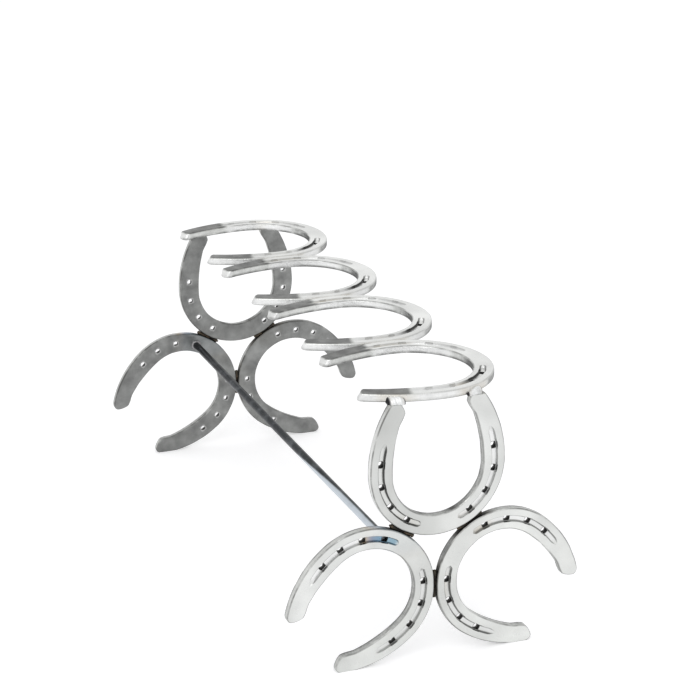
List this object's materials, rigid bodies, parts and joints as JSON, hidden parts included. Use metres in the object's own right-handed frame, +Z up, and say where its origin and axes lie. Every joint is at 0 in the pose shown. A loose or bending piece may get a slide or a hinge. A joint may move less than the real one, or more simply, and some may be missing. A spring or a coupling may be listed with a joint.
{
  "type": "boot rack",
  "caption": "Free-standing boot rack welded from fullered horseshoes: a flat row of open shoes on an upright frame of shoes at each end, joined low down by a round bar.",
  "frame": {"origin": "on the floor, midway between the two end frames and midway between the centres of the left and right foot shoes", "axes": "+X across the rack, away from the open side of the row; +Y along the row; +Z up"},
  "size_m": [0.2965, 0.5858, 0.2679],
  "materials": {
    "satin_steel": "bright satin forged steel, brushed and clear-coated",
    "bar_steel": "cold-drawn round bar, darker than the shoes",
    "weld_bead": "dark weld bead with heat tint"
  },
  "bodies": {
    "root": {"row_shoe_1": "satin_steel", "row_shoe_2": "satin_steel", "row_shoe_3": "satin_steel", "row_shoe_4": "satin_steel", "near_upright_shoe": "satin_steel", "near_left_foot_shoe": "satin_steel", "near_right_foot_shoe": "satin_steel", "far_upright_shoe": "satin_steel", "far_left_foot_shoe": "satin_steel", "far_right_foot_shoe": "satin_steel", "tie_bar": "bar_steel", "row_weld_1_2": "weld_bead", "row_weld_2_3": "weld_bead", "row_weld_3_4": "weld_bead", "near_frame_weld_left": "weld_bead", "near_frame_weld_right": "weld_bead", "near_frame_weld_middle": "weld_bead", "near_heel_weld_left": "weld_bead", "near_heel_weld_right": "weld_bead", "near_bar_weld": "weld_bead", "far_frame_weld_left": "weld_bead", "far_frame_weld_right": "weld_bead", "far_frame_weld_middle": "weld_bead", "far_heel_weld_left": "weld_bead", "far_heel_weld_right": "weld_bead", "far_bar_weld": "weld_bead"}
  },
  "joints": []
}
